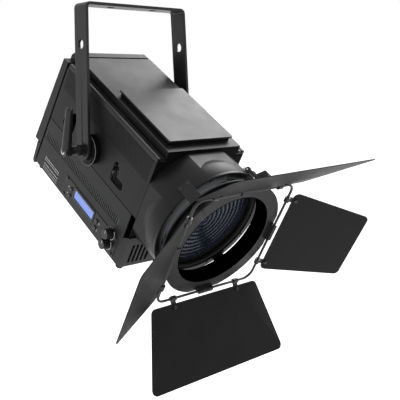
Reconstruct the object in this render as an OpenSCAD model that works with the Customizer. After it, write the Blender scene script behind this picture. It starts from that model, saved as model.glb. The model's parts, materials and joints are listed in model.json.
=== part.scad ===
// LED Fresnel theatre spotlight, hung in a flat-bar yoke, with a four-leaf barn door.
// Millimetres. +Z up, beam towards -Y, origin midway between the two hanging holes on the bar's top face.

/* [Yoke] */
// Outside half width of the yoke across its top bend
yoke_half = 101.8; // [100:0.2:106]
// Height of the yoke from the tilt axis to its top face
yoke_h = 235; // [234:1:260]
// Width of the flat bar
bar_w = 35; // [28:1:40]
// Thickness of the flat bar
bar_t = 5; // [4.5:0.1:5.2]
// Outward lean of each arm in degrees
splay = 1.9; // [1.8:0.1:2.2]
// Outside radius of the two top bends
bend_r = 9; // [7:1:14]
// Half the distance between the two hanging holes
hang_x = 43; // [30:1:60]
// Diameter of the hanging holes
hang_d = 13; // [8:0.5:14]
// Distance of the arm holes below the bar's top face
arm_hole_z = 66; // [45:1:90]
// Diameter of the arm holes
arm_hole_d = 15; // [8:0.5:18]

/* [Tilt joint] */
// Downward pitch of the housing in degrees
tilt = 32.3; // [0:0.1:60]
// Radius of the tilt studs
stud_r = 5; // [4:0.5:5]
// Radius of the round bosses on the housing sides
boss_r = 26; // [20:1:27]
// Length of the lever grip from the stud axis
grip_len = 72; // [60:1:95]
// Radial running clearance of pins and knuckles
run_c = 0.05; // [0.02:0.01:0.08]

/* [Housing] */
// Half width of the housing
side_x = 90; // [90:0.1:90.2]
// Distance of the housing front ahead of the tilt axis
front_y = 151; // [150:0.5:152]
// Distance of the rear edge behind the tilt axis at ledge height
rear_y = 126; // [124:1:130]
// Backward lean of the rear edge in degrees
rear_lean = 5.5; // [4.5:0.5:6]
// Height of the ledge beside the roof
ledge_z = 84; // [82:0.5:85]
// Half width of the raised roof
roof_x = 74.7; // [72:0.1:76]
// Height of the roof
roof_z = 99; // [98:0.5:99.5]
// Height of the seam between side panel and control box
seam_z = -28; // [-34:1:-24]
// Height of the control box bottom
floor_z = -129; // [-129.5:0.5:-128]
// Sheet thickness of the panels
sheet = 1.5; // [1.2:0.1:1.8]
// Half width of the raised top cover
cover_x = 65.5; // [60:0.5:68]
// Length of the raised top cover
cover_len = 147; // [120:1:150]
// Thickness of the top cover plate
cover_t = 3; // [2:0.5:3.5]

/* [Controls] */
// Width of the display window
lcd_w = 63; // [50:1:64]
// Height of the display window
lcd_h = 16; // [12:0.5:17]
// Radius of the two rotary knobs
knob_r = 8.6; // [7:0.1:9.5]
// Radius of the push buttons
btn_r = 3.6; // [3:0.1:4]

/* [Lens barrel] */
// Outside radius of the barrel
barrel_r = 100; // [99:0.5:100.5]
// Distance of the barrel rim ahead of the tilt axis
rim_y = 213; // [212:0.5:214]
// Outside radius of the lens
lens_r = 85; // [84:0.5:85.5]
// Number of Fresnel steps
lens_steps = 16; // [12:1:20]
// Angle of the four holder clips from the side, in degrees
clip_a = 54; // [50:1:58]

/* [Barn door] */
// Radius of the round aperture
ap_r = 83.6; // [80:0.2:84]
// Distance of the aperture plate ahead of the tilt axis
plate_y = 255; // [254:0.5:256]
// Half side of the wire frame
rod_s = 100; // [99:0.5:101]
// Distance of the wire frame ahead of the tilt axis
rod_y = 262; // [261.5:0.5:263]
// Radius of the wire
rod_r = 2.1; // [1.8:0.1:2.4]
// Sheet thickness of the leaves
leaf_t = 1.2; // [1:0.1:1.5]
// Turn of the whole barn door about the beam in degrees
door_roll = -1.5; // [-180:0.5:180]
// Opening angle of the top leaf from the beam direction
top_open = 51; // [40:1:80]
// Opening angle of the bottom leaf from the beam direction
bottom_open = 42; // [30:1:80]
// Opening angle of the two side leaves from the beam direction
side_open = 60; // [40:1:80]

/* [Hidden] */

black = [0.045, 0.045, 0.05];
satin = [0.07, 0.07, 0.075];
steel = [0.6, 0.6, 0.62];
rubber = [0.03, 0.03, 0.03];
seam_gap = 1.4;
arm_low = bar_w / 2;
yoke_low_half = yoke_half + yoke_h * tan(splay);
arm_out_x = yoke_low_half + 0.6;
pad_x = yoke_low_half - bar_t - bar_w * tan(splay) - 0.3;
boss_x0 = side_x + 0.05;
boss_mid = pad_x - 1.5;
hub_x0 = arm_out_x + 2.2;
hub_x1 = hub_x0 + 10;
hub_x2 = hub_x1 + 11;
hub_x3 = hub_x2 + 12;
grip_r = 8.2;
grip_top_r = 5.8;
lever_lean = 13;
rail_top = ledge_z + 4;
wall_in = side_x - sheet;
cover_y0 = 10.5;
cover_z = roof_z + 9;
box_in = side_x - 2;
slot_y = 70;
slot_z = -7;
slot_r = 7.2;
strip_z = -61;
strip_h = 13;
strip_len = 256;
strip_y0 = -118;
lcd_y = -22.5;
lcd_z = -100;
knob_y = -109;
knob_z1 = -91;
knob_z2 = -112.5;
panel_x = side_x + 0.8;
rear_gap = 4.2;
eye_z = 62;
rear_face_lean = atan(25 / 189);
rear_face_y = 143 + (roof_z - eye_z) * 25 / 189;
rear_box_y = 158;
rear_box_low = -136;
rear_split = -90;
rim_t = 3;
seat_y = rim_y - 7;
lens_t = 8;
flat_top = 93;
ring_r = 101.5;
latch_r = ring_r + 3.4;
latch_a = 58;
bulge_y0 = 165;
bulge_y1 = 188;
flange_r = 96;
flange_y = 228;
tube_t = 2;
door_plate_r = 107;
door_plate_half = 102.5;
corner_r = 16;
knuckle_r = 4.4;
knuckle_w = 9;
knuckle_x = 66;
big_in = 110;
big_out = 141;
big_len = 134;
small_in = 81.5;
small_out = 63.5;
small_len = 150;
far_shift = 3;
leaf_gap = 8;
small_gap = 9;
rod_x = 60;
rod_len = 178;
rod_front = -142;
guide_r = 4;
screw_z = -47;
sled_y = -48;

// Rear edge of the side sheets at a given height
function rear_at(z) = rear_y + (ledge_z - z) * tan(rear_lean);

// Places children in the pitched housing frame: origin on the tilt axis, beam along -Y
module housing_frame() {
  translate([0, 0, -yoke_h]) rotate([tilt, 0, 0]) children();
}

// Places children in the housing frame turned with the barn door
module door_frame() {
  housing_frame() rotate([0, door_roll, 0]) children();
}

// Extrudes a (y, z) outline across x from x0 by w
module across(x0, w) {
  translate([x0, 0, 0]) rotate([90, 0, 90]) linear_extrude(w) children();
}

// Extrudes an (x, z) outline along +Y from y0 by d
module along(y0, d) {
  translate([0, y0 + d, 0]) rotate([90, 0, 0]) linear_extrude(d) children();
}

// Cylinder along X between two positions
module xcyl(r, x0, x1) {
  translate([x0, 0, 0]) rotate([0, 90, 0]) cylinder(r = r, h = x1 - x0, $fn = 64);
}

// Cylinder along +Y between two positions
module ycyl(r, y0, y1) {
  translate([0, y0, 0]) rotate([-90, 0, 0]) cylinder(r = r, h = y1 - y0, $fn = 64);
}

// Revolves an (r, distance ahead) outline about the beam axis
module beam_spin() {
  rotate([90, 0, 0]) rotate_extrude($fn = 128) children();
}

// Centred rectangle with rounded corners
module round_rect(w, h, r) {
  offset(r = r, $fn = 24) square([w - 2 * r, h - 2 * r], center = true);
}

// Stepped front outline of the housing, shrunk by d
module step_outline(d) {
  polygon([[-side_x + d, seam_z + d], [side_x - d, seam_z + d], [side_x - d, ledge_z - d],
    [roof_x - d, ledge_z - d], [roof_x - d, roof_z - d], [-roof_x + d, roof_z - d],
    [-roof_x + d, ledge_z - d], [-side_x + d, ledge_z - d]]);
}

/* yoke */
module yoke_outline(d) {
  low = yoke_low_half + arm_low * tan(splay);
  offset(r = bend_r - d, $fn = 32) offset(delta = -bend_r)
    polygon([[-yoke_half, 0], [yoke_half, 0], [low + bend_r * tan(splay) * 2,
      -yoke_h - arm_low - 2 * bend_r],
      [-low - bend_r * tan(splay) * 2, -yoke_h - arm_low - 2 * bend_r]]);
}

module yoke() {
  color(satin) difference() {
    intersection() {
      along(-bar_w / 2, bar_w) difference() {
        yoke_outline(0);
        yoke_outline(bar_t);
      }
      union() {
        translate([-150, -bar_w / 2 - 1, -yoke_h]) cube([300, bar_w + 2, yoke_h + 1]);
        translate([0, 0, -yoke_h]) xcyl(arm_low, -150, 150);
      }
    }
    for (s = [-1, 1]) translate([s * hang_x, 0, -bar_t - 1])
      cylinder(d = hang_d, h = bar_t + 2, $fn = 48);
    translate([0, 0, -arm_hole_z]) xcyl(arm_hole_d / 2, -150, 150);
    translate([0, 0, -yoke_h]) xcyl(stud_r + run_c, -150, 150);
  }
}

/* tilt joint */
module boss_discs() {
  color(black) housing_frame() for (s = [0, 1]) mirror([s, 0, 0]) difference() {
    union() {
      xcyl(boss_r - 1.5, boss_x0, boss_mid - 2);
      xcyl(boss_r, boss_mid - 3, boss_mid);
    }
    xcyl(stud_r + 0.2, boss_x0 - 1, boss_mid + 1);
  }
}

module boss_pads() {
  color(rubber) housing_frame() for (s = [0, 1]) mirror([s, 0, 0]) difference() {
    xcyl(boss_r - 2.5, boss_mid, pad_x);
    xcyl(stud_r + 0.2, boss_mid - 1, pad_x + 1);
  }
}

module stud_bars() {
  color(steel) housing_frame() {
    xcyl(stud_r, -hub_x1 + 2, -70);
    xcyl(stud_r, 70, arm_out_x + 8);
  }
}

module clamp_nuts() {
  color(steel) housing_frame() for (s = [0, 1]) mirror([s, 0, 0]) difference() {
    translate([wall_in - 8, 0, 0]) rotate([0, 90, 0]) cylinder(r = 9.5, h = 8, $fn = 6);
    xcyl(stud_r + 0.02, wall_in - 9, wall_in + 1);
  }
}

module clamp_washers() {
  color(steel) housing_frame() for (s = [0, 1]) mirror([s, 0, 0]) difference() {
    xcyl(11, arm_out_x, arm_out_x + 1.8);
    xcyl(stud_r + 0.2, arm_out_x - 1, arm_out_x + 3);
  }
}

module clamp_lever() {
  color(black) translate([0, 0, -yoke_h]) rotate([lever_lean, 0, 0]) difference() {
    union() {
      xcyl(9, -hub_x1, -hub_x0);
      xcyl(6, -hub_x2, -hub_x1);
      xcyl(8.6, -hub_x3, -hub_x2);
      translate([-hub_x2 - 6, 0, 0])
        cylinder(r1 = grip_r, r2 = grip_top_r, h = grip_len - grip_top_r, $fn = 48);
      translate([-hub_x2 - 6, 0, grip_len - grip_top_r]) sphere(r = grip_top_r, $fn = 64);
    }
    xcyl(stud_r + run_c, -hub_x1 + 1.8, -hub_x0 + 1);
    xcyl(5.1, -hub_x3 - 1, -hub_x3 + 3);
  }
}

module lever_screw() {
  color(steel) translate([0, 0, -yoke_h]) difference() {
    xcyl(5, -hub_x3 - 0.8, -hub_x3 + 3);
    translate([-hub_x3 - 1.8, 0, 0]) rotate([0, 90, 0]) cylinder(r = 2.8, h = 3, $fn = 6);
  }
}

module tilt_bolt_cap() {
  color(black) housing_frame() difference() {
    union() {
      xcyl(13, arm_out_x + 1.9, arm_out_x + 9);
      xcyl(10, arm_out_x + 9, arm_out_x + 12);
    }
    xcyl(stud_r + 0.02, arm_out_x + 1, arm_out_x + 8.1);
  }
}

module tilt_bosses() {
  boss_discs();
  boss_pads();
}

module tilt_studs() {
  stud_bars();
  clamp_nuts();
  clamp_washers();
}

/* housing shell */
// L-shaped slot with round ends: the leg rises, the foot points away from the tilt axis
module hook_slot(s) {
  translate([s * slot_y, slot_z]) {
    for (p = [[0, 0], [0, 23], [s * 22, 0]]) translate(p) circle(r = slot_r, $fn = 32);
    translate([-slot_r, 0]) square([2 * slot_r, 23]);
    translate([min(0, s * 22), -slot_r]) square([22, 2 * slot_r]);
  }
}

module side_sheet() {
  polygon([[-front_y, seam_z + seam_gap], [rear_at(seam_z + seam_gap), seam_z + seam_gap],
    [rear_at(ledge_z - 4.5), ledge_z - 4.5], [-front_y, ledge_z - 4.5]]);
}

module side_panel() {
  color(satin) housing_frame() difference() {
    across(-side_x, sheet) difference() {
      side_sheet();
      for (s = [-1, 1]) hook_slot(s);
    }
    xcyl(stud_r + 0.3, -side_x - 1, -wall_in + 1);
  }
}

module side_panels() {
  side_panel();
  mirror([1, 0, 0]) side_panel();
}

module roof_panel() {
  len = front_y + rear_y - 1;
  color(satin) housing_frame() difference() {
    translate([-roof_x, -front_y + 0.1, ledge_z + 0.1]) cube([2 * roof_x, len, roof_z - ledge_z - 0.1]);
    translate([-roof_x + sheet, -front_y - 1, ledge_z - 1])
      cube([2 * (roof_x - sheet), len + 4, roof_z - ledge_z - sheet + 1]);
    for (i = [0:10]) translate([-48, -30 - i * 8.5, roof_z - 4]) cube([96, 4, 8]);
  }
}

module edge_profile() {
  polygon([[-side_x, ledge_z - 4], [-side_x, rail_top - 1.2], [-side_x + 1.2, rail_top],
    [-side_x + 5.8, rail_top], [-side_x + 5.8, ledge_z], [-side_x + 8.2, ledge_z], [-side_x + 8.2, rail_top],
    [-side_x + 12.8, rail_top], [-side_x + 12.8, ledge_z], [-roof_x + 3, ledge_z],
    [-roof_x + 3, ledge_z - 2], [-side_x + 2, ledge_z - 2], [-side_x + 2, ledge_z - 18],
    [-side_x + 1.6, ledge_z - 18], [-side_x + 1.6, ledge_z - 4]]);
}

module edge_rail() {
  color(black) housing_frame() along(-front_y, front_y + rear_y - 2) edge_profile();
}

module edge_rails() {
  edge_rail();
  mirror([1, 0, 0]) edge_rail();
}

module top_cover() {
  color(satin) housing_frame() translate([0, cover_y0 - cover_len / 2, cover_z - cover_t])
    linear_extrude(cover_t) round_rect(2 * cover_x, cover_len, 3);
}

module cover_spacers() {
  color(black) housing_frame() translate([0, cover_y0 - cover_len / 2, roof_z])
    linear_extrude(cover_z - cover_t - roof_z) difference() {
      round_rect(2 * cover_x - 5, cover_len - 5, 3);
      round_rect(2 * cover_x - 13, cover_len - 13, 2);
    }
}

module front_plate() {
  color(satin) housing_frame() along(-front_y + 0.2, 2.4) difference() {
    union() {
      translate([-box_in + 0.5, floor_z + 3]) square([2 * box_in - 1, ledge_z - 8 - floor_z]);
      translate([-roof_x + 3.2, ledge_z - 6]) square([2 * roof_x - 6.4, roof_z - ledge_z + 3.5]);
    }
    circle(r = 78, $fn = 96);
    for (s = [-1, 1], i = [0:4]) translate([s * (72.5 - i * 8.4) - 1.6, floor_z + 9]) square([3.2, 34]);
  }
}

/* control box */
module vent_cells(nx, nz, px, pz, w) {
  for (i = [0:nx - 1], j = [0:nz - 1])
    translate([(i - (nx - 1) / 2) * px, (j - (nz - 1) / 2) * pz]) square([w, w], center = true);
}

module box_side_cut() {
  translate([strip_y0 + strip_len / 2, strip_z]) square([strip_len, strip_h], center = true);
}

module box_wall(cut) {
  difference() {
    polygon([[-front_y, floor_z], [rear_at(floor_z), floor_z], [rear_at(seam_z), seam_z],
      [12.5 - front_y, seam_z], [12.5 - front_y, -76], [-front_y, -67]]);
    box_side_cut();
    if (cut) {
      translate([lcd_y, lcd_z]) square([lcd_w + 8, lcd_h + 8], center = true);
      for (p = button_pos()) translate(p) circle(r = btn_r + 0.5, $fn = 32);
      for (z = [knob_z1, knob_z2]) translate([knob_y, z]) circle(r = 4.5, $fn = 32);
    }
  }
}

function button_pos() = [[22, -100], [22, -114], [-67, -100], [-67, -114]];

module control_box() {
  color(satin) housing_frame() {
    across(-side_x, 2) box_wall(true);
    across(side_x - 2, 2) box_wall(false);
    across(-side_x + 2, 2 * side_x - 4)
      polygon([[-front_y, floor_z], [rear_at(floor_z), floor_z], [rear_at(floor_z), floor_z + 2],
        [-front_y, floor_z + 2]]);
    along(-front_y - 2, 2) difference() {
      translate([-side_x, floor_z]) square([2 * side_x, -67 - floor_z]);
      circle(r = barrel_r + 0.6, $fn = 128);
      for (s = [-1, 1], i = [0:4]) translate([s * (74 - i * 8.4) - 2.2, floor_z + 8])
        square([4.4, 38]);
    }
  }
}

module control_panel() {
  color(black) housing_frame() across(-panel_x, 0.75) difference() {
    translate([-42, -106]) round_rect(178, 40, 4);
    translate([lcd_y, lcd_z]) square([lcd_w + 8, lcd_h + 8], center = true);
    for (p = button_pos()) translate(p) circle(r = btn_r + 0.3, $fn = 32);
    for (z = [knob_z1, knob_z2]) translate([knob_y, z]) circle(r = 4.5, $fn = 32);
    for (y = [-124, 40], z = [-90, -122]) translate([y, z]) circle(r = 1.7, $fn = 24);
  }
}

module panel_heads() {
  color(steel) housing_frame() for (y = [-124, 40], z = [-90, -122]) translate([0, y, z]) {
    xcyl(1.5, -panel_x, -side_x);
    xcyl(2.6, -panel_x - 1.2, -panel_x);
  }
}

module vent_grille() {
  color(black) housing_frame() across(-side_x + 0.2, 1.2)
    translate([strip_y0 + strip_len / 2, strip_z]) difference() {
    square([strip_len - 0.2, strip_h - 0.2], center = true);
    vent_cells(50, 3, 5, 4, 3.2);
  }
}

module vent_grilles() {
  vent_grille();
  mirror([1, 0, 0]) vent_grille();
}

module lcd_bezel() {
  color(black) housing_frame() across(-side_x - 1.6, 3.4) translate([lcd_y, lcd_z]) difference() {
    round_rect(lcd_w + 7.6, lcd_h + 7.6, 2);
    square([lcd_w, lcd_h], center = true);
  }
}

module lcd_window() {
  color([0.35, 0.45, 0.95]) housing_frame() across(-side_x - 0.6, 2) translate([lcd_y, lcd_z])
    square([lcd_w - 0.1, lcd_h - 0.1], center = true);
}

module push_button(i) {
  color([0.2, 0.2, 0.21]) housing_frame() translate([0, button_pos()[i][0], button_pos()[i][1]]) {
    xcyl(btn_r, -side_x - 3, -side_x + 3);
    xcyl(btn_r + 1.2, -side_x + 3, -side_x + 4);
  }
}

module button_up() {
  push_button(0);
}

module button_down() {
  push_button(1);
}

module button_menu() {
  push_button(2);
}

module button_enter() {
  push_button(3);
}

module knob(z) {
  color(black) housing_frame() translate([0, knob_y, z]) {
    difference() {
      xcyl(knob_r, -side_x - 13, -side_x - 2.2);
      for (a = [0:30:330]) rotate([a, 0, 0]) translate([0, 0, knob_r + 0.4])
        xcyl(1, -side_x - 14, -side_x - 5);
      translate([-side_x - 13.5, -0.6, 1.5]) cube([1.2, 1.2, knob_r]);
    }
    xcyl(3, -side_x - 2.2, -side_x + 7);
  }
}

module knob_upper() {
  knob(knob_z1);
}

module knob_lower() {
  knob(knob_z2);
}

module feet() {
  color(rubber) housing_frame() for (x = [-1, 1], y = [-front_y + 6, rear_at(floor_z) - 14])
    translate([x * (side_x - 8), y, floor_z - 5]) cylinder(r1 = 6, r2 = 7.5, h = 5, $fn = 48);
}

/* rear end */
// Foam filter that lies just inside the louvres of the rear cover
module louvre_filter() {
  color(rubber) housing_frame() across(-56, 112)
    polygon([[160.6, -62], [156.6, -62], [144.3, 32], [148.3, 32]]);
}

module rear_side(z0, z1, a, b) {
  polygon([[rear_at(z0) + a, z0], [rear_at(z0) + b, z0], [rear_at(z1) + b, z1], [rear_at(z1) + a, z1]]);
}

module rear_seal() {
  louvre_filter();
  color(rubber) housing_frame() intersection() {
    across(-90, 180) rear_side(floor_z + 2.3, roof_z - 2, 0.1, rear_gap - 0.2);
    along(100, 80) difference() {
      union() {
        translate([-side_x + 4, floor_z + 2.4]) square([2 * side_x - 8, ledge_z - floor_z - 6.4]);
        translate([-roof_x + 4, 0]) square([2 * roof_x - 8, roof_z - 4]);
      }
      translate([-side_x + 10, floor_z + 4.6]) square([2 * side_x - 20, ledge_z - floor_z - 16.6]);
    }
  }
}

module rear_cover_side() {
  polygon([[rear_at(rear_split) + rear_gap, rear_split], [168, rear_split], [143, roof_z],
    [rear_at(roof_z) + rear_gap, roof_z]]);
}

// Stepped outline of the rear cover: half width w, bottom z0, ledge zl, hump half width h and top zt
module hump_outline(w, z0, zl, h, zt, c) {
  polygon([[-w, z0], [w, z0], [w, zl], [h, zl], [h, zt - c], [h - c, zt], [-h + c, zt], [-h, zt - c],
    [-h, zl], [-w, zl]]);
}

module rear_cover() {
  color(satin) housing_frame() difference() {
    intersection() {
      across(-side_x - 1, 2 * side_x + 2) rear_cover_side();
      along(80, 120) hump_outline(side_x, rear_split - 1, ledge_z + 3, roof_x + 3, roof_z, 4);
    }
    intersection() {
      across(-side_x, 2 * side_x)
        polygon([[rear_at(rear_split) - 6, rear_split + 2.5], [165.3, rear_split + 2.5],
          [140.8, roof_z - 2.5], [100, roof_z - 2.5]]);
      along(79, 122) hump_outline(side_x - 2.5, rear_split, ledge_z + 0.4, roof_x + 0.4, roof_z - 2.2,
        2.5);
    }
    for (i = [0:9]) translate([-50, 120, -58 + i * 9]) cube([100, 60, 4.2]);
  }
}

module rear_box() {
  color(satin) housing_frame() difference() {
    across(-side_x, 2 * side_x)
      polygon([[rear_at(rear_split) + rear_gap, rear_split - 1], [rear_box_y, rear_split - 1],
        [rear_box_y, rear_box_low + 4],
        [rear_box_y - 4, rear_box_low], [rear_at(rear_box_low) + rear_gap, rear_box_low]]);
    across(-side_x + 2.5, 2 * side_x - 5)
      polygon([[120, rear_split - 3.5], [rear_box_y - 2.5, rear_split - 3.5],
        [rear_box_y - 2.5, rear_box_low + 2.5],
        [120, rear_box_low + 2.5]]);
    translate([-64, 0, -113]) rotate([90, 0, 0]) translate([0, 0, -200]) linear_extrude(80)
      square([27.2, 20.2], center = true);
    translate([-30, 0, -113]) rotate([90, 0, 0]) translate([0, 0, -200]) linear_extrude(80)
      square([27.2, 20.2], center = true);
    for (x = [14, 42]) translate([x, 0, -113]) ycyl(11.1, 120, 200);
    translate([69, 0, -113]) ycyl(6.6, 120, 200);
  }
}

module rear_heads() {
  color(steel) housing_frame()
    for (x = [-84.5, 84.5]) translate([x, 0, -113]) ycyl(3, rear_box_y, rear_box_y + 1.4);
}

module mains_shell(x, pin_out) {
  translate([x, rear_box_y - 24, -113]) rotate([-90, 0, 0]) difference() {
    union() {
      linear_extrude(25.5) square([27, 20], center = true);
      translate([0, 0, 24.2]) linear_extrude(2.6) round_rect(31, 24, 3);
    }
    translate([0, 0, 6]) linear_extrude(30) round_rect(21, 14, 2);
  }
  for (i = [-1, 0, 1]) translate([x + i * 6, 0, -113 - (i == 0 ? 2.5 : -2)])
    ycyl(1.3, rear_box_y - 19, rear_box_y - (pin_out ? 4 : 12));
}

module power_sockets() {
  color(black) housing_frame() {
    mains_shell(-64, true);
    mains_shell(-30, false);
  }
}

module data_shell(x, pins) {
  translate([x, 0, -113]) {
    difference() {
      union() {
        ycyl(11, rear_box_y - 20, rear_box_y + 1);
        translate([0, rear_box_y + 0.2, 0]) rotate([-90, 0, 0]) linear_extrude(2) round_rect(26, 29, 3);
      }
      ycyl(8.6, rear_box_y - 15, rear_box_y + 4);
    }
    for (a = [0:72:288]) rotate([0, a, 0]) translate([4.6, 0, 0])
      ycyl(pins ? 0.9 : 1.4, rear_box_y - 16, rear_box_y - (pins ? 3 : 6));
  }
}

module data_sockets() {
  color([0.14, 0.14, 0.15]) housing_frame() {
    data_shell(14, true);
    data_shell(42, false);
  }
}

module fuse_holder() {
  color(black) housing_frame() translate([69, 0, -113]) difference() {
    union() {
      ycyl(6.5, rear_box_y - 22, rear_box_y + 1);
      ycyl(8.5, rear_box_y + 0.1, rear_box_y + 8);
    }
    translate([-5, rear_box_y + 6.5, -0.8]) cube([10, 3, 1.6]);
  }
}

module safety_eye() {
  color(steel) housing_frame() translate([62, rear_face_y, eye_z]) rotate([rear_face_lean - 90, 0, 0]) {
    translate([0, 0, 0.2]) cylinder(r = 8, h = 2, $fn = 48);
    translate([0, 0, 2]) cylinder(r = 3.4, h = 4, $fn = 32);
    translate([0, 0, 13]) rotate([0, 90, 0]) rotate_extrude($fn = 64)
      translate([8, 0]) circle(r = 2.4, $fn = 32);
  }
}

/* lens barrel */
// Rear part of the barrel: a round section with its sides and top cut flat to continue the housing
module flat_section(r, half, top, f0, f1) {
  intersection() {
    beam_spin() polygon([[0, f0], [r, f0], [r, f1], [0, f1]]);
    translate([-half, -f1 - 1, -barrel_r - 1]) cube([2 * half, f1 - f0 + 2, barrel_r + 1 + top]);
  }
}

module barrel() {
  color(satin) housing_frame() difference() {
    union() {
      flat_section(barrel_r, side_x, flat_top, front_y + 0.4, bulge_y1);
      beam_spin() polygon([[0, bulge_y0], [side_x, bulge_y0], [barrel_r, bulge_y1],
        [barrel_r, rim_y], [0, rim_y]]);
    }
    flat_section(barrel_r - 2.5, side_x - 2.5, flat_top - 2.5, front_y + 3.4, bulge_y1);
    beam_spin() polygon([[0, bulge_y0 - 4], [side_x - 3, bulge_y0], [barrel_r - 3.5, bulge_y1],
      [barrel_r - 3.5, seat_y - lens_t - 2], [0, seat_y - lens_t - 2]]);
    beam_spin() polygon([[0, front_y], [82, front_y], [82, seat_y - lens_t], [lens_r + 1, seat_y - lens_t],
      [lens_r + 1, seat_y], [barrel_r - rim_t, seat_y], [barrel_r - rim_t, rim_y + 1], [0, rim_y + 1]]);
  }
}

clip_angles = [clip_a - 98, 90 + clip_a, -90 - clip_a];

function lens_face(i) = let (p = (lens_r - 1) / lens_steps) [[i * p + 0.001, seat_y - 1.2],
  [(i + 1) * p, seat_y - 3.4]];

module lens() {
  color([0.75, 0.82, 0.95, 0.5]) housing_frame() beam_spin() polygon(concat(
    [[0, seat_y - lens_t + 0.2]], [for (i = [0:lens_steps - 1], k = [0:1]) lens_face(i)[k]],
    [[lens_r, seat_y - 3.4], [lens_r, seat_y - lens_t + 0.2]]));
}

module lens_ring() {
  color(black) housing_frame() difference() {
    beam_spin() polygon([[lens_r + 1.5, seat_y + 0.1], [barrel_r - rim_t - 0.3, seat_y + 0.1],
      [barrel_r - rim_t - 0.3, rim_y + 0.1], [ring_r, rim_y + 0.1], [ring_r, rim_y + 3.6],
      [ring_r - 1, rim_y + 4.6], [92, rim_y + 4.6], [lens_r + 3, rim_y + 2], [lens_r + 1.5, rim_y]]);
    for (a = [22.5:45:360]) rotate([0, a, 0])
      translate([96.8, 0, 0]) ycyl(1.5, -rim_y - 5, -rim_y - 1.8);
  }
}

module ring_heads() {
  color(steel) housing_frame() for (a = [22.5:45:360]) rotate([0, a, 0]) translate([96.8, 0, 0]) {
    ycyl(1.4, -rim_y - 4.7, -rim_y - 2);
    ycyl(2.3, -rim_y - 5.7, -rim_y - 4.65);
  }
}

// Holder clip seen along the beam at the top: base on the barrel, hooked lip ahead of the rim
module clip_shape() {
  across(-10, 20) polygon([[-197, barrel_r + 0.1], [-197, ring_r + 2.4], [-234.6, ring_r + 2.4],
    [-234.6, 89], [-232.4, 89], [-232.4, ring_r + 0.1], [-208.5, ring_r + 0.1],
    [-208.5, barrel_r + 0.1]]);
}

module clip_holes() {
  for (x = [-5.5, 5.5]) translate([x, -202.5, barrel_r - 1]) cylinder(r = 1.7, h = 12, $fn = 24);
}

module holder_clips() {
  color(satin) housing_frame() for (a = clip_angles) rotate([0, a, 0])
    difference() {
    clip_shape();
    clip_holes();
  }
}

module clip_heads() {
  color(steel) housing_frame() for (a = clip_angles) rotate([0, a, 0])
    for (x = [-5.5, 5.5]) translate([x, -202.5, 0]) {
      translate([0, 0, barrel_r + 0.1]) cylinder(r = 1.5, h = ring_r - barrel_r + 2.3, $fn = 24);
      translate([0, 0, ring_r + 2.4]) cylinder(r1 = 2.8, r2 = 2, h = 1.2, $fn = 24);
    }
}

module latch_clip() {
  color(satin) housing_frame() rotate([0, 90 - latch_a, 0]) difference() {
    union() {
      across(-12, 24) polygon([[-206, latch_r - 2.4], [-206, latch_r + 3.2],
        [-238.6, latch_r + 3.2], [-238.6, 89], [-236.2, 89],
        [-236.2, latch_r - 2.4]]);
      across(-12, 5) translate([-206, latch_r]) circle(r = 4.6, $fn = 48);
      across(7, 5) translate([-206, latch_r]) circle(r = 4.6, $fn = 48);
      across(-8, 16) polygon([[-238.6, latch_r + 2], [-238.6, latch_r + 15], [-235, latch_r + 18],
        [-228, latch_r + 18], [-220, latch_r + 2]]);
    }
    translate([0, -206, latch_r]) xcyl(1.5 + run_c, -20, 20);
    translate([-7, -212.8, latch_r - 6]) cube([14, 14, 14]);
    translate([-4.5, -219, latch_r - 6]) cube([9, 5, 14]);
  }
}

module latch_pin() {
  color(steel) housing_frame() rotate([0, 90 - latch_a, 0]) {
    translate([0, -206, latch_r]) xcyl(1.5, -13, 13);
    difference() {
      across(-6.6, 13.2) polygon([[-195, barrel_r + 0.1], [-195, barrel_r + 3],
        [-203, latch_r + 3.2], [-209, latch_r + 3.2],
        [-210.2, latch_r + 1], [-210.2, barrel_r + 0.1]]);
      translate([0, -206, latch_r]) xcyl(1.5, -20, 20);
      translate([-2.6, -214, latch_r - 2.4]) cube([5.2, 20, 10]);
    }
  }
}

module case_screws() {
  panel_heads();
  rear_heads();
}

module barrel_screws() {
  ring_heads();
  clip_heads();
}

/* inside */
module guide_rods() {
  color(steel) housing_frame() for (x = [-rod_x, rod_x]) translate([x, 0, 0])
    ycyl(guide_r, rod_front, rod_front + rod_len);
}

module led_carriage() {
  color([0.5, 0.5, 0.52]) housing_frame() difference() {
    union() {
      translate([-rod_x - 9, sled_y, screw_z - 9]) cube([2 * rod_x + 18, 4, 86]);
      for (x = [-rod_x, rod_x]) translate([x, 0, 0]) ycyl(8, sled_y - 8, sled_y + 12);
      translate([0, 0, screw_z]) ycyl(8, sled_y - 2, sled_y + 8);
    }
    for (x = [-rod_x, rod_x]) translate([x, 0, 0]) ycyl(guide_r + run_c, sled_y - 20, sled_y + 20);
    translate([0, 0, screw_z]) ycyl(3 + run_c, sled_y - 20, sled_y + 20);
  }
}

module heat_sink() {
  color([0.35, 0.35, 0.37]) housing_frame() {
    translate([-44, sled_y + 4.2, -28]) cube([88, 6, 70]);
    for (i = [0:11]) translate([-44 + i * 7.82, sled_y + 10.2, -28]) cube([2, 34, 70]);
  }
}

module led_module() {
  color([0.95, 0.85, 0.35]) housing_frame() {
    ycyl(22, sled_y - 2.2, sled_y - 0.2);
    ycyl(14, sled_y - 3.4, sled_y - 2.2);
  }
}

module led_optic() {
  color([0.8, 0.85, 0.9, 0.5]) housing_frame() translate([0, sled_y, 0]) rotate([90, 0, 0])
    rotate_extrude($fn = 96)
    polygon([[16, 3.6], [26, 3.6], [40, 30], [38, 30], [24, 5.6], [16, 5.6]]);
}

module lead_screw() {
  color(steel) housing_frame() translate([0, 0, screw_z]) ycyl(3, rod_front + 2, 40);
}

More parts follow.
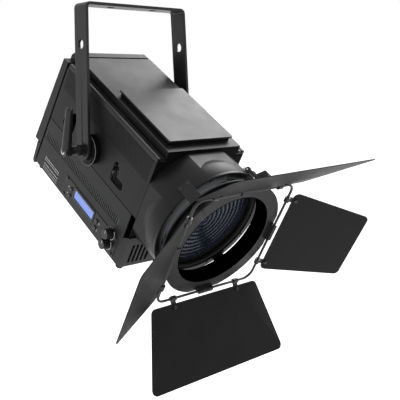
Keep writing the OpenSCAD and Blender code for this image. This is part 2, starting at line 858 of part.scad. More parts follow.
module zoom_motor() {
  color([0.2, 0.2, 0.22]) housing_frame() translate([0, 0, screw_z]) difference() {
    translate([-21, 20, -21]) cube([42, 34, 42]);
    ycyl(3.05, 10, 44);
  }
}

module fan_frame() {
  color(black) housing_frame() translate([0, 100, 12]) difference() {
    union() {
      difference() {
        translate([-40, 0, -40]) cube([80, 20, 80]);
        ycyl(37.6, -1, 21);
      }
      ycyl(12, 16, 19);
      for (a = [0:90:270]) rotate([0, a + 45, 0]) translate([10, 16.5, -1.5]) cube([29, 2, 3]);
    }
    ycyl(2 + run_c, -5, 30);
  }
}

module fan_rotor() {
  color([0.12, 0.12, 0.12]) housing_frame() translate([0, 100, 12]) {
    ycyl(14, 3, 14);
    ycyl(2, 14, 18.5);
    for (a = [0:51.4286:359]) rotate([0, a, 0]) translate([13, 8, -0.8]) rotate([28, 0, 0])
      translate([0, -4, 0]) cube([22, 8, 1.6]);
  }
}

module power_supply() {
  color([0.62, 0.62, 0.6]) housing_frame() difference() {
    translate([-10, -110, floor_z + 4]) cube([88, 190, 38]);
    translate([-8, -108, floor_z + 6]) cube([90, 186, 34]);
  }
}

module main_board() {
  color([0.05, 0.25, 0.12]) housing_frame() {
    translate([-76, -125, -124]) cube([1.6, 170, 60]);
    translate([-74.4, -30, -100]) cube([3, 22, 22]);
    for (i = [0:4]) translate([-74.4, 5, -112 + i * 9]) rotate([0, 90, 0])
      cylinder(r = 3.4, h = 9, $fn = 32);
  }
}

/* barn door */
module door_ring() {
  color(satin) door_frame() {
    beam_spin() polygon([[ap_r + 0.9, flange_y], [flange_r, flange_y], [flange_r, flange_y + 2],
      [ap_r + 0.9 + tube_t, flange_y + 2],
      [ap_r + 0.9 + tube_t, plate_y - 0.2], [ap_r + 0.9, plate_y - 0.2]]);
    along(-plate_y - 1.8, 2) difference() {
      intersection() {
        circle(r = door_plate_r, $fn = 180);
        square(2 * door_plate_half, center = true);
      }
      circle(r = ap_r, $fn = 180);
    }
    for (a = [0:90:270]) rotate([0, a, 0]) difference() {
      across(-15, 30) polygon([[-plate_y - 1.8, rod_s - 5], [-plate_y - 1.8, rod_s + 2.4],
        [-rod_y - 3.4, rod_s + 3.6], [-rod_y - 3.4, rod_s - 3.4]]);
      translate([0, -rod_y, rod_s]) xcyl(rod_r, -30, 30);
    }
  }
}

module rod_frame() {
  straight = rod_s - corner_r;
  color(steel) door_frame() for (a = [0:90:270]) rotate([0, a, 0]) {
    translate([0, -rod_y, rod_s]) xcyl(rod_r, -straight, straight);
    translate([straight, -rod_y, straight]) rotate([90, 0, 0]) rotate_extrude(angle = 90, $fn = 64)
      translate([corner_r, 0]) circle(r = rod_r, $fn = 32);
  }
}

// Leaf frame: origin on the wire, leaf running along +Z, hinge line along X
module leaf_frame(a, open) {
  door_frame() rotate([0, a, 0]) translate([0, -rod_y, rod_s]) rotate([90 - open, 0, 0]) children();
}

module leaf_shape(h0, h1, v0, v1) {
  along(-leaf_t / 2, leaf_t) difference() {
    offset(r = 9, $fn = 32) offset(delta = -9) polygon([[-h0, v0], [h0, v0], [h1, v1], [-h1, v1]]);
    for (x = [-knuckle_x, knuckle_x]) translate([x, v0 + 6]) circle(r = 1.7, $fn = 24);
  }
}

module hinge_pair(v0) {
  for (x = [-knuckle_x, knuckle_x]) translate([x, 0, 0]) {
    difference() {
      union() {
        xcyl(knuckle_r, -knuckle_w / 2, knuckle_w / 2);
        translate([-knuckle_w / 2, leaf_t / 2, 0]) cube([knuckle_w, 1.8, v0 + 11]);
      }
      xcyl(rod_r + run_c, -knuckle_w, knuckle_w);
    }
    translate([0, 0, v0 + 6]) ycyl(1.6, -leaf_t / 2, leaf_t / 2);
    translate([0, 0, v0 + 6]) ycyl(3, -leaf_t / 2 - 1.8, -leaf_t / 2);
  }
}

module leaf_top() {
  color(satin) leaf_frame(0, top_open) leaf_shape(big_in, big_out, leaf_gap, big_len);
}

module leaf_bottom() {
  color(satin) leaf_frame(180, bottom_open) leaf_shape(big_in, big_out, leaf_gap, big_len);
}

module leaf_near() {
  color(satin) leaf_frame(-90, side_open) leaf_shape(small_in, small_out, small_gap, small_len);
}

module leaf_far() {
  color(satin) leaf_frame(90, side_open) translate([-far_shift, 0, 0])
    leaf_shape(small_in, small_out, small_gap, small_len);
}

module hinges_top() {
  color(black) leaf_frame(0, top_open) hinge_pair(leaf_gap);
}

module hinges_bottom() {
  color(black) leaf_frame(180, bottom_open) hinge_pair(leaf_gap);
}

module hinges_near() {
  color(black) leaf_frame(-90, side_open) hinge_pair(small_gap);
}

module hinges_far() {
  color(black) leaf_frame(90, side_open) translate([-far_shift, 0, 0]) hinge_pair(small_gap);
}

yoke();
tilt_bosses();
tilt_studs();
clamp_lever();
lever_screw();
tilt_bolt_cap();
side_panels();
roof_panel();
edge_rails();
top_cover();
cover_spacers();
case_screws();
front_plate();
control_box();
control_panel();
vent_grilles();
lcd_bezel();
lcd_window();
button_up();
button_down();
button_menu();
button_enter();
knob_upper();
knob_lower();
feet();
rear_seal();
rear_cover();
rear_box();
power_sockets();
data_sockets();
fuse_holder();
safety_eye();
barrel();
lens();
lens_ring();
barrel_screws();
holder_clips();
latch_clip();
latch_pin();
guide_rods();
led_carriage();
heat_sink();
led_module();
led_optic();
lead_screw();
zoom_motor();
fan_frame();
fan_rotor();
power_supply();
main_board();
door_ring();
rod_frame();
leaf_top();
leaf_bottom();
leaf_near();
leaf_far();
hinges_top();
hinges_bottom();
hinges_near();
hinges_far();
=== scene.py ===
"""LED Fresnel theatre spotlight: looks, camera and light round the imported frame.

Sizes are in millimetres in the housing frame, whose origin is the tilt axis and whose beam runs along -Y.
PLACE turns a point of that frame into metres in the row frame.
"""
import json
import math

import bmesh
import bpy
from mathutils import Matrix, Vector


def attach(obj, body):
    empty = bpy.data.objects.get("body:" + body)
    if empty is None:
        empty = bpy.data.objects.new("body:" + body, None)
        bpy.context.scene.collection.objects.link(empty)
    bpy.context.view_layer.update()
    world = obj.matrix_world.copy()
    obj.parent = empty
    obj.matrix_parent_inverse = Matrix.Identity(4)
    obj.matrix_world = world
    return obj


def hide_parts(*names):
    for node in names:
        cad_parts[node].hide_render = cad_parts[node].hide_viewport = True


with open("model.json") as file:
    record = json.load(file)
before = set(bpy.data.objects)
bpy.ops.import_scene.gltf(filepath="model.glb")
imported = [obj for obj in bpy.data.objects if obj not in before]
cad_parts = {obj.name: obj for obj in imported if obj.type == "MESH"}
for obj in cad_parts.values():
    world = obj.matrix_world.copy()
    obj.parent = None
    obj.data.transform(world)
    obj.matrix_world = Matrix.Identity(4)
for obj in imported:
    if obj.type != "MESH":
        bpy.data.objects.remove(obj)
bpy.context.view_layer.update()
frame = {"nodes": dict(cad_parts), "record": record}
nodes = frame["nodes"]

MM = 0.001
YOKE_H = 235.0
PITCH = math.radians(32.3)
PIVOT = Vector((0.0, 0.0, -YOKE_H * MM))
PLACE = Matrix.Translation(PIVOT) @ Matrix.Rotation(PITCH, 4, "X") @ Matrix.Scale(MM, 4)

# Driving places of the housing: its side, the face of the control panel, and what is on that
SIDE_X = 90.0
PANEL_X = 90.8
KNOB_Y = -109.0
KNOB_Z = (-91.0, -112.5)
KNOB_R = 8.6
KNOB_FACE_X = -SIDE_X - 13.0
# Middles of the up, down, menu and enter buttons, as (y, z)
BUTTONS = ((22.0, -100.0), (22.0, -114.0), (-67.0, -100.0), (-67.0, -114.0))
LCD_Y = -22.5
LCD_Z = -100.0
BOSS_R = 26.0
BOSS_X = 101.6

# Character cells of the display, along Y and Z: first corner, step, count, and the lit part of a step
CELLS_FROM = (LCD_Y - 27.0, LCD_Z - 6.0)
CELL_STEP = (3.4, 6.2)
CELL_COUNT = (16.0, 2.0)
CELL_SPAN_Y = (0.12, 0.86)
CELL_SPAN_Z = (0.1, 0.88)

# Bands of small holes, rows running along the beam
BOX_HOLES = {"z_band": (-70.0, -53.0), "y_band": (-120.0, 142.0), "pitch": 4.2, "hole_r": 1.55}
SIDE_HOLES = {"z_band": (41.0, 78.5), "y_band": (-144.0, 122.0), "pitch": 3.6, "hole_r": 1.2}
# The bore of the barn door ring lies inside this radius, where the door material paints shade
DOOR_BORE_R = 85.0

# ---------------------------------------------------------------- materials

# Sockets of the mix node that carry its factor, two colours and result
MIX_FACTOR, MIX_FIRST, MIX_SECOND, MIX_RESULT = 0, 6, 7, 2
# Finish of every coat: scale of the slow drift, its share in colour and in roughness, and the grain's depth
DRIFT_SCALE = 28.0
COLOUR_DRIFT = 0.25
ROUGH_DRIFT = 0.08
GRAIN_DEPTH = 0.0003
HOLE_BLACK = (0.0008, 0.0008, 0.0008)
# Painted shade: the near-black of the bore inside the barn door ring
BORE_PAINTED_SHADE = (0.0006, 0.0006, 0.0006)


class Nodes:
    """A small helper that adds and links the nodes of one material."""

    def __init__(self, name):
        self.name = name
        self.material = bpy.data.materials.new(name)
        self.material.use_nodes = True
        self.tree = self.material.node_tree
        self.shader = self.tree.nodes["Principled BSDF"]

    def add(self, kind, inputs=None, **settings):
        node = self.tree.nodes.new(kind)
        for key, value in settings.items():
            setattr(node, key, value)
        for key, value in (inputs or {}).items():
            self.set(node, key, value)
        return node

    def set(self, node, key, value):
        if isinstance(value, bpy.types.NodeSocket):
            self.tree.links.new(value, node.inputs[key])
        else:
            node.inputs[key].default_value = value

    def shade(self, inputs):
        """Sets or links inputs of the surface shader."""
        for key, value in inputs.items():
            self.set(self.shader, key, value)

    def source(self, key):
        """The socket that feeds an input of the surface shader."""
        return self.shader.inputs[key].links[0].from_socket

    def math(self, operation, *values):
        node = self.add("ShaderNodeMath", operation=operation)
        for index, value in enumerate(values):
            self.set(node, index, value)
        return node.outputs[0]

    def square_sum(self, first, second):
        return self.math("ADD", self.math("MULTIPLY", first, first), self.math("MULTIPLY", second, second))

    def between(self, value, low, high):
        above = self.math("GREATER_THAN", value, low)
        below = self.math("LESS_THAN", value, high)
        return self.math("MULTIPLY", above, below)

    def object_point(self):
        return self.add("ShaderNodeTexCoord").outputs["Object"]

    def housing_point(self):
        """Coordinates in the housing frame, in metres, as three sockets."""
        inputs = {"Vector": self.object_point(), "Location": PIVOT, "Rotation": (PITCH, 0.0, 0.0)}
        mapped = self.add("ShaderNodeMapping", inputs, vector_type="TEXTURE").outputs[0]
        return tuple(self.add("ShaderNodeSeparateXYZ", {0: mapped}).outputs)

    def noise(self, scale, detail=2.0, vector=None):
        inputs = {"Vector": vector or self.object_point(), "Scale": scale, "Detail": detail}
        return self.add("ShaderNodeTexNoise", inputs).outputs["Fac"]

    def spread(self, factor, low, high):
        """Stretches the usual span of a noise, 0.3 to 0.7, onto low to high."""
        inputs = {"Value": factor, "From Min": 0.3, "From Max": 0.7, "To Min": low, "To Max": high}
        return self.add("ShaderNodeMapRange", inputs).outputs["Result"]

    def mix(self, factor, first, second):
        node = self.add("ShaderNodeMix", data_type="RGBA")
        self.set(node, MIX_FACTOR, factor)
        for index, colour in ((MIX_FIRST, first), (MIX_SECOND, second)):
            value = colour if isinstance(colour, bpy.types.NodeSocket) else (*colour, 1.0)
            self.set(node, index, value)
        return node.outputs[MIX_RESULT]

    def bump(self, height, strength, distance):
        inputs = {"Height": height, "Strength": strength, "Distance": distance}
        return self.add("ShaderNodeBump", inputs).outputs["Normal"]


def scaled(colour, factor):
    return [channel * factor for channel in colour]


def coat(name, colour, rough, grain=1400.0, grit=0.12, specular=0.5):
    """A painted or moulded surface: fine grain in the bump, soft drift in colour and roughness."""
    n = Nodes(name)
    drift = n.noise(DRIFT_SCALE, detail=3.0)
    low, high = scaled(colour, 1.0 - COLOUR_DRIFT), scaled(colour, 1.0 + COLOUR_DRIFT)
    n.shade({
        "Base Color": n.mix(n.spread(drift, 0.0, 1.0), low, high),
        "Roughness": n.spread(drift, rough * (1.0 - ROUGH_DRIFT), rough * (1.0 + ROUGH_DRIFT)),
        "Normal": n.bump(n.noise(grain), grit, GRAIN_DEPTH),
        "Specular IOR Level": specular,
    })
    return n


def perforated(name, colour, rough, specular, z_band, y_band, pitch, hole_r):
    """A coated sheet with a band of small round holes, every other row shifted by half a step."""
    n = coat(name, colour, rough, specular=specular)
    _, y, z = n.housing_point()
    rows = n.math("DIVIDE", z, pitch * MM)
    shift = n.math("MULTIPLY", n.math("MODULO", n.math("FLOOR", rows), 2.0), 0.5)
    columns = n.math("ADD", n.math("DIVIDE", y, pitch * MM), shift)
    u = n.math("SUBTRACT", n.math("FRACT", columns), 0.5)
    v = n.math("SUBTRACT", n.math("FRACT", rows), 0.5)
    inside = n.math("LESS_THAN", n.square_sum(u, v), (hole_r / pitch) ** 2)
    in_z = n.between(z, z_band[0] * MM, z_band[1] * MM)
    in_y = n.between(y, y_band[0] * MM, y_band[1] * MM)
    mask = n.math("MULTIPLY", inside, n.math("MULTIPLY", in_z, in_y))
    n.shade({
        "Base Color": n.mix(mask, n.source("Base Color"), HOLE_BLACK),
        "Roughness": n.math("MAXIMUM", n.source("Roughness"), mask),
    })
    return n


def hollow(name, colour, rough, specular, radius):
    """A coated surface whose part inside a radius round the beam is much darker and reflects nothing:
    painted shade in the bore.
    """
    n = coat(name, colour, rough, specular=specular)
    x, _, z = n.housing_point()
    inside = n.math("LESS_THAN", n.square_sum(x, z), (radius * MM) ** 2)
    # Painted shade: the bore turns near-black and its reflection is taken away
    n.shade({
        "Base Color": n.mix(inside, n.source("Base Color"), BORE_PAINTED_SHADE),
        "Specular IOR Level": n.math("MULTIPLY", n.math("SUBTRACT", 1.0, inside), specular),
    })
    return n


def brushed(name, colour, rough):
    """Bare metal with fine lines along X."""
    n = Nodes(name)
    inputs = {"Vector": n.object_point(), "Scale": (20.0, 900.0, 900.0)}
    lines = n.noise(1.0, vector=n.add("ShaderNodeMapping", inputs).outputs[0])
    n.shade({
        "Base Color": n.mix(n.spread(lines, 0.0, 1.0), scaled(colour, 0.85), colour),
        "Roughness": n.spread(lines, rough, rough + 0.12),
        "Normal": n.bump(lines, 0.06, 0.0002),
        "Metallic": 1.0,
    })
    return n


def glass(name, tint, rough, through, shine):
    """Moulded glass, from dark to clear, with a slow drift in its tint."""
    n = Nodes(name)
    n.shade({
        "Base Color": n.mix(n.spread(n.noise(20.0, 1.0), 0.0, 1.0), scaled(tint, 0.8), tint),
        "Roughness": rough,
        "IOR": 1.5,
        "Specular IOR Level": shine,
        "Transmission Weight": through,
    })
    return n


def display(name):
    """Lit blue window with two rows of sixteen character cells."""
    n = Nodes(name)
    _, y, z = n.housing_point()
    column = n.math("DIVIDE", n.math("SUBTRACT", y, CELLS_FROM[0] * MM), CELL_STEP[0] * MM)
    row = n.math("DIVIDE", n.math("SUBTRACT", z, CELLS_FROM[1] * MM), CELL_STEP[1] * MM)
    cell_y = n.between(n.math("FRACT", column), *CELL_SPAN_Y)
    cell_z = n.between(n.math("FRACT", row), *CELL_SPAN_Z)
    field = n.math("MULTIPLY", n.between(column, 0.0, CELL_COUNT[0]), n.between(row, 0.0, CELL_COUNT[1]))
    mask = n.math("MULTIPLY", n.math("MULTIPLY", cell_y, cell_z), field)
    colour = n.mix(mask, (0.15, 0.23, 0.56), (0.11, 0.17, 0.47))
    n.shade({
        "Base Color": colour,
        "Emission Color": colour,
        "Emission Strength": 0.38,
        "Roughness": 0.25,
    })
    return n


def board(name):
    """Green circuit board with fine tracks."""
    n = Nodes(name)
    inputs = {"Vector": n.object_point(), "Scale": 220.0}
    cells = n.add("ShaderNodeTexVoronoi", inputs, feature="DISTANCE_TO_EDGE").outputs["Distance"]
    track = n.math("LESS_THAN", cells, 0.12)
    n.shade({"Base Color": n.mix(track, (0.02, 0.12, 0.05), (0.05, 0.24, 0.10)), "Roughness": 0.4})
    return n


def phosphor(name):
    """Yellow light-emitting array of small chips on a pale carrier."""
    n = Nodes(name)
    inputs = {"Vector": n.object_point(), "Scale": 260.0}
    cells = n.add("ShaderNodeTexVoronoi", inputs, distance="CHEBYCHEV").outputs["Distance"]
    chip = n.math("LESS_THAN", cells, 0.55)
    n.shade({"Base Color": n.mix(chip, (0.55, 0.52, 0.40), (0.75, 0.55, 0.10)), "Roughness": 0.5})
    return n


PAINT = (0.008, 0.008, 0.0083)
INK = {"grain": 3000.0, "grit": 0.02, "specular": 0.3}
SMOOTH = {"grain": 2600.0, "grit": 0.02}

MATERIALS = {
    made.name: made.material
    for made in (
        coat("powder_black", PAINT, 0.42, specular=0.19),
        coat("cover_black", PAINT, 0.42, specular=0.26),
        perforated("box_perforated", PAINT, 0.42, 0.19, **BOX_HOLES),
        perforated("side_perforated", (0.007, 0.007, 0.0073), 0.45, 0.17, **SIDE_HOLES),
        coat("powder_frame", PAINT, 0.38, specular=0.26),
        coat("leaf_black", (0.0052, 0.0052, 0.0054), 0.5, grain=900.0, specular=0.12),
        hollow("door_black", PAINT, 0.45, 0.18, DOOR_BORE_R),
        coat("plastic_black", (0.007, 0.007, 0.0073), 0.35, grain=2200.0, grit=0.08, specular=0.35),
        coat("panel_black", (0.006, 0.006, 0.0064), 0.35, grain=3000.0, grit=0.04, specular=0.22),
        coat("button_grey", (0.05, 0.05, 0.052), 0.6, grain=2500.0, grit=0.1, specular=0.3),
        coat("rubber_black", (0.006, 0.006, 0.006), 0.75, grain=1500.0, grit=0.3, specular=0.2),
        coat("black_steel", (0.009, 0.009, 0.0095), 0.32, grain=2600.0, grit=0.05, specular=0.35),
        brushed("zinc", (0.50, 0.50, 0.52), 0.32),
        brushed("bare_aluminium", (0.62, 0.62, 0.64), 0.35),
        brushed("psu_steel", (0.45, 0.45, 0.45), 0.38),
        coat("motor_black", (0.03, 0.03, 0.032), 0.4, grain=1800.0, grit=0.08),
        glass("lens_glass", (0.010, 0.014, 0.026), 0.25, through=0.0, shine=0.3),
        # Painted highlight: a pale coat on the steep steps of the lens, for the glint of light on them
        coat("lens_step_painted_glint", (0.16, 0.18, 0.22), 0.25, **SMOOTH),
        glass("optic_clear", (0.75, 0.80, 0.86), 0.05, through=0.9, shine=0.5),
        display("lcd_blue"),
        board("pcb_green"),
        phosphor("led_phosphor"),
        coat("print_grey", (0.42, 0.42, 0.43), 0.5, **INK),
        coat("print_white", (0.45, 0.45, 0.46), 0.5, **INK),
        # Painted shade: the lens ring is darker than the paint, for the shade deep inside the barrel
        coat("ring_painted_shade", (0.004, 0.004, 0.0043), 0.3, specular=0.16, **SMOOTH),
        # Painted shade: the tilt bosses are darker than the paint, for the shade on their side walls
        coat("boss_painted_shade", (0.003, 0.003, 0.003), 0.5, specular=0.1, **SMOOTH),
        # Painted highlight: pale grey for the light caught by the edge of each tilt boss
        coat("rim_painted_highlight", (0.13, 0.13, 0.135), 0.35, specular=0.4, **SMOOTH),
        # Painted shade: near-black for the gap under the top cover, the rear seal and the front plate,
        # where shade falls
        coat("painted_shade_black", (0.002, 0.002, 0.002), 0.8, grain=1500.0, grit=0.05, specular=0.1),
    )
}
# Pieces that look different from the rest of their material slot
SPECIAL = {
    "top_cover": "cover_black",
    "control_box": "box_perforated",
    "side_panels": "side_perforated",
    # Painted shade: the lens ring is darkened for the shade inside the barrel
    "lens_ring": "ring_painted_shade",
    # Painted shade: the tilt bosses are darkened for the shade on their sides
    "tilt_bosses": "boss_painted_shade",
    "tilt_studs": "black_steel",
    # Painted shade: these pieces are near-black for the shade in the gaps and on the front plate
    "rear_seal": "painted_shade_black",
    "cover_spacers": "painted_shade_black",
    "front_plate": "painted_shade_black",
}


def paint(obj, name):
    obj.data.materials.clear()
    obj.data.materials.append(MATERIALS[name])


for entry in frame["record"]["subparts"]:
    name = entry["node"]
    paint(nodes[name], SPECIAL.get(name, entry["material_slot"]))

# ---------------------------------------------------------------- rounded edges of the CAD pieces

EDGE_MM = {
    "yoke": 0.7,
    "top_cover": 0.6,
    "roof_panel": 0.6,
    "control_box": 0.5,
    "rear_cover": 0.6,
    "rear_box": 0.6,
    "edge_rails": 0.4,
    "barrel": 0.5,
    "lens_ring": 0.4,
    "door_ring": 0.4,
    "knob_upper": 0.4,
    "knob_lower": 0.4,
    "lcd_bezel": 0.4,
    "control_panel": 0.2,
    "holder_clips": 0.4,
    "latch_clip": 0.4,
    "tilt_bosses": 0.6,
    "tilt_bolt_cap": 0.8,
    "clamp_lever": 0.8,
    "leaf_top": 0.3,
    "leaf_bottom": 0.3,
    "leaf_near": 0.3,
    "leaf_far": 0.3,
}
SHARP_ANGLE = math.radians(40.0)


def soften(obj, width_mm):
    """Rounds the sharp edges of a piece a little, so that they catch the light."""
    weld = obj.modifiers.new("weld", "WELD")
    weld.merge_threshold = 0.00001
    bevel = obj.modifiers.new("edge", "BEVEL")
    bevel.width = width_mm * MM
    bevel.segments = 2
    bevel.limit_method = "ANGLE"
    bevel.angle_limit = SHARP_ANGLE


for name, width in EDGE_MM.items():
    soften(nodes[name], width)

# ---------------------------------------------------------------- new pieces


def piece(name, mesh_builder, body, material):
    """Makes one mesh piece in millimetres, puts it in place and lets it ride on its body."""
    bm = bmesh.new()
    mesh_builder(bm)
    bmesh.ops.recalc_face_normals(bm, faces=bm.faces)
    bm.transform(PLACE)
    mesh = bpy.data.meshes.new(name)
    bm.to_mesh(mesh)
    bm.free()
    obj = bpy.data.objects.new(name, mesh)
    bpy.context.scene.collection.objects.link(obj)
    paint(obj, material)
    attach(obj, body)
    return obj


def prism(bm, outline, near, far):
    """Adds a closed prism: the outline's (y, z) points at the two depths x = near and x = far."""
    rings = [[bm.verts.new((x, y, z)) for y, z in outline] for x in (near, far)]
    count = len(outline)
    bm.faces.new(rings[0])
    bm.faces.new(list(reversed(rings[1])))
    for i in range(count):
        j = (i + 1) % count
        bm.faces.new((rings[0][j], rings[0][i], rings[1][i], rings[1][j]))


def turned(bm, profile, place, steps):
    """Turns a profile of (radius, along) points and returns its rows of faces.

    place(along, u, v) gives the point of a place along the axis and across it.
    """
    angles = [2 * math.pi * i / steps for i in range(steps)]
    rings = []
    for radius, along in profile:
        if radius == 0.0:
            rings.append([bm.verts.new(place(along, 0.0, 0.0))] * steps)
        else:
            points = [place(along, radius * math.cos(a), radius * math.sin(a)) for a in angles]
            rings.append([bm.verts.new(point) for point in points])
    rows = []
    for first, second in zip(rings, rings[1:]):
        row = []
        for i in range(steps):
            j = (i + 1) % steps
            # At the middle two corners are the same vertex, which a face may hold only once
            corners = dict.fromkeys((first[i], first[j], second[j], second[i]))
            row.append(bm.faces.new(list(corners)))
        rows.append(row)
    return rows


def arc_band(cy, cz, r0, r1, start, end, steps=24):
    """Outline of a curved band between two radii, angles in degrees."""
    angles = [math.radians(start + (end - start) * i / steps) for i in range(steps + 1)]
    outer = [(cy + r1 * math.cos(a), cz + r1 * math.sin(a)) for a in angles]
    inner = [(cy + r0 * math.cos(a), cz + r0 * math.sin(a)) for a in reversed(angles)]
    return outer + inner


def bar(cy, cz, w, h):
    """Outline of an upright rectangle round its middle."""
    return [(cy + sy * w / 2, cz + sz * h / 2) for sy, sz in ((-1, -1), (1, -1), (1, 1), (-1, 1))]


def spoke(cy, cz, r0, r1, angle, width):
    """Outline of a tick that points away from a centre."""
    a = math.radians(angle)
    along = Vector((math.cos(a), math.sin(a)))
    side = Vector((-along.y, along.x)) * width / 2
    centre = Vector((cy, cz))
    inner, outer = centre + along * r0, centre + along * r1
    return [tuple(p) for p in (inner - side, outer - side, outer + side, inner + side)]


# The print stands a little proud of the control panel and starts just under its face
PRINT = (-PANEL_X - 0.06, -PANEL_X + 0.02)
# Marks beside the buttons
MARK_GAP = 8.0
ARROW_HALF = 1.5
ARROW_FOOT = 1.6
ARROW_TIP = 1.8
MENU_BAR = (4.0, 0.6)
MENU_STEP = 1.5
ENTER_RADII = (1.3, 2.0)
ENTER_ARC = (-140.0, 140.0)
# Rows of plain dashes at the rear of the panel: (z, first y, height), widths from the rear forwards
LABEL_ROWS = (
    (-100.0, 119.0, 2.0),
    (-104.5, 119.0, 1.6),
    (-112.5, 118.0, 2.2),
    (-118.0, 119.0, 1.6),
    (-122.5, 119.0, 1.6),
)
LABEL_DASHES = (2.4, 1.4, 2.0, 1.8, 2.6, 1.2, 2.2, 1.6, 2.4, 1.8, 1.4, 2.6, 2.0, 1.6, 2.2)
LABEL_GAP = 1.5


def panel_marks(bm):
    """Grey print: arrows, bars and an arc by the buttons, and rows of plain dashes at the rear."""
    up, down, menu, enter = BUTTONS
    for (y, z), sign in ((up, 1), (down, -1)):
        middle = y + MARK_GAP
        foot = z - sign * ARROW_FOOT
        arrow = [(middle - ARROW_HALF, foot), (middle + ARROW_HALF, foot), (middle, z + sign * ARROW_TIP)]
        prism(bm, arrow, *PRINT)
    for i in (-1, 0, 1):
        prism(bm, bar(menu[0] - MARK_GAP, menu[1] + i * MENU_STEP, *MENU_BAR), *PRINT)
    prism(bm, arc_band(enter[0] - MARK_GAP, enter[1], *ENTER_RADII, *ENTER_ARC), *PRINT)
    for row_z, start, height in LABEL_ROWS:
        y = start
        for width in LABEL_DASHES:
            prism(bm, bar(y - width / 2, row_z, width, height), *PRINT)
            y -= width + LABEL_GAP


DIAL_RADII = (KNOB_R + 2.0, KNOB_R + 3.1)
DIAL_ARC = (130.0, 250.0)
TICK_RADII = (KNOB_R + 1.8, KNOB_R + 3.2)
TICK_ANGLES = (-30, 0, 30, 60, 90)
TICK_WIDTH = 0.6


def knob_scales(bm):
    """White dial print: an arc and ticks round each knob."""
    for z in KNOB_Z:
        prism(bm, arc_band(KNOB_Y, z, *DIAL_RADII, *DIAL_ARC), *PRINT)
        for angle in TICK_ANGLES:
            prism(bm, spoke(KNOB_Y, z, *TICK_RADII, angle, TICK_WIDTH), *PRINT)


POINTER_UP = 4.6
POINTER = (1.0, 6.2)
POINTER_DEPTHS = (KNOB_FACE_X - 0.08, KNOB_FACE_X + 0.1)


def knob_pointer(z):
    """Gives the builder of the white line on the face of the knob at height z."""

    def build(bm):
        prism(bm, bar(KNOB_Y, z + POINTER_UP, *POINTER), *POINTER_DEPTHS)

    return build


# Painted highlight: a bright rim on a tilt boss, for the light its edge catches, from its outer face round
# the edge, as (radius, x)
RIM_LIFT = 0.12
RIM_PROFILE = (
    (BOSS_R - 0.5, BOSS_X + RIM_LIFT),
    (BOSS_R + RIM_LIFT, BOSS_X - 0.1),
    (BOSS_R + RIM_LIFT, BOSS_X - 0.7),
)
RIM_STEPS = 72


def boss_rims(bm):
    """Thin bright rim round the outer face of each tilt boss: a painted highlight on its edge."""
    turned(bm, RIM_PROFILE, lambda along, u, v: (-along, u, v), RIM_STEPS)
    turned(bm, RIM_PROFILE, lambda along, u, v: (along, u, v), RIM_STEPS)


LENS_R = 85.0
LENS_RIM = 1.0
LENS_BACK = 198.2
LENS_TOP = 204.8
LENS_STEPS = 192
RIDGES = 10
RIDGE_DROP = 1.8
RIDGE_FILL = 0.95
RIDGE_CURVE = 1.5
RIDGE_CREST = LENS_TOP - 0.15
SLOPE_STEPS = 6
RIDGE_ROWS = SLOPE_STEPS + 1


def lens_profile():
    """Half section of the lens, as (radius, distance along the beam), from the middle of its face."""
    pitch = (LENS_R - LENS_RIM) / RIDGES
    points = [(0.0, LENS_TOP)]
    for i in range(RIDGES):
        for k in range(1, SLOPE_STEPS + 1):
            part = k / SLOPE_STEPS
            points.append(((i + part * RIDGE_FILL) * pitch, LENS_TOP - RIDGE_DROP * part**RIDGE_CURVE))
        points.append(((i + 1) * pitch, RIDGE_CREST))
    return points + [(LENS_R, LENS_TOP - RIDGE_DROP), (LENS_R, LENS_BACK), (0.0, LENS_BACK)]


def stepped_lens(bm):
    """The lens turned about the beam: round ridges, whose steep steps take the second material, a pale
    painted glint.
    """
    rows = turned(bm, lens_profile(), lambda along, u, v: (u, -along, v), LENS_STEPS)
    for index, row in enumerate(rows):
        is_step = index % RIDGE_ROWS == SLOPE_STEPS and index < RIDGE_ROWS * RIDGES
        for face in row:
            face.smooth = True
            face.material_index = int(is_step)


piece("panel_marks", panel_marks, "housing", "print_grey")
piece("knob_scales", knob_scales, "housing", "print_white")
piece("knob_pointer_upper", knob_pointer(KNOB_Z[0]), "knob_a", "print_white")
piece("knob_pointer_lower", knob_pointer(KNOB_Z[1]), "knob_b", "print_white")
piece("boss_rims", boss_rims, "housing", "rim_painted_highlight")

lens_piece = piece("stepped_lens", stepped_lens, "housing", "lens_glass")
lens_piece.data.materials.append(MATERIALS["lens_step_painted_glint"])
lens_piece.data.set_sharp_from_angle(angle=SHARP_ANGLE)
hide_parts("lens")

# ---------------------------------------------------------------- camera, stage and light

# The camera in metres in the row frame: its place, the direction behind it, and its roll
CAMERA_AT = Vector((-0.73565, -1.00378, -0.14299))
CAMERA_BACK = Vector((-0.667127, -0.728511, 0.155572)).normalized()
CAMERA_ROLL = math.radians(-1.01)
CAMERA_LENS = 64.15
CAMERA_SHIFT = (-0.0396, 0.0071)
FLOOR_R = 40.0
FLOOR_Z = -1.3
# One soft box high on the far side, which brightens the roof and the top cover
LIGHT_AIM = Vector((0.0, -0.1, -0.25))
LIGHT_FROM = Vector((0.667, 0.1725, 0.724)).normalized()
LIGHT_DISTANCE = 2.2
LIGHT_SIZE = 1.4
LIGHT_WATTS = 42.0
WHITE = (1.0, 1.0, 1.0, 1.0)


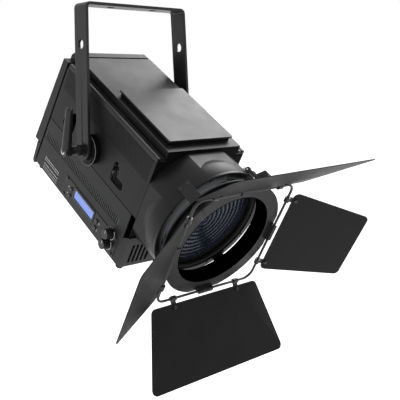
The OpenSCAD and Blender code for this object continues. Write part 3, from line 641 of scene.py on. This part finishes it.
def make_camera():
    """The view of the rest pose from the near front corner, from a little above the tilt axis."""
    data = bpy.data.cameras.new("camera")
    data.lens = CAMERA_LENS
    data.sensor_width = 36.0
    data.shift_x, data.shift_y = CAMERA_SHIFT
    data.clip_start = 0.01
    data.clip_end = 100.0
    camera = bpy.data.objects.new("camera", data)
    right = Vector((0.0, 0.0, 1.0)).cross(CAMERA_BACK).normalized()
    up = CAMERA_BACK.cross(right)
    x_axis = right * math.cos(CAMERA_ROLL) + up * math.sin(CAMERA_ROLL)
    y_axis = up * math.cos(CAMERA_ROLL) - right * math.sin(CAMERA_ROLL)
    turn = Matrix((x_axis, y_axis, CAMERA_BACK)).transposed().to_4x4()
    camera.matrix_world = Matrix.Translation(CAMERA_AT) @ turn
    bpy.context.scene.collection.objects.link(camera)
    bpy.context.scene.camera = camera


def make_floor():
    """A wide pale disc well below the hanging light."""
    bm = bmesh.new()
    bmesh.ops.create_circle(bm, cap_ends=True, segments=96, radius=FLOOR_R)
    mesh = bpy.data.meshes.new("floor")
    bm.to_mesh(mesh)
    bm.free()
    floor = bpy.data.objects.new("floor", mesh)
    floor.location.z = FLOOR_Z
    n = Nodes("floor_pale")
    n.shade({
        "Base Color": n.mix(n.noise(2.0), (0.86, 0.86, 0.86), (0.9, 0.9, 0.9)),
        "Roughness": 0.9,
        "Emission Color": WHITE,
        "Emission Strength": 0.5,
    })
    mesh.materials.append(n.material)
    bpy.context.scene.collection.objects.link(floor)


def make_roof_light():
    """A square area light that faces the middle of the object."""
    data = bpy.data.lights.new("roof_light", "AREA")
    data.size = LIGHT_SIZE
    data.energy = LIGHT_WATTS
    light = bpy.data.objects.new("roof_light", data)
    light.location = LIGHT_AIM + LIGHT_FROM * LIGHT_DISTANCE
    light.rotation_euler = LIGHT_FROM.to_track_quat("Z", "Y").to_euler()
    bpy.context.scene.collection.objects.link(light)


def make_world():
    """An even white surround."""
    world = bpy.data.worlds.new("studio")
    world.use_nodes = True
    background = world.node_tree.nodes["Background"]
    background.inputs["Color"].default_value = WHITE
    background.inputs["Strength"].default_value = 1.0
    bpy.context.scene.world = world


make_camera()
make_floor()
make_world()
make_roof_light()
bpy.context.scene.view_settings.view_transform = "Standard"
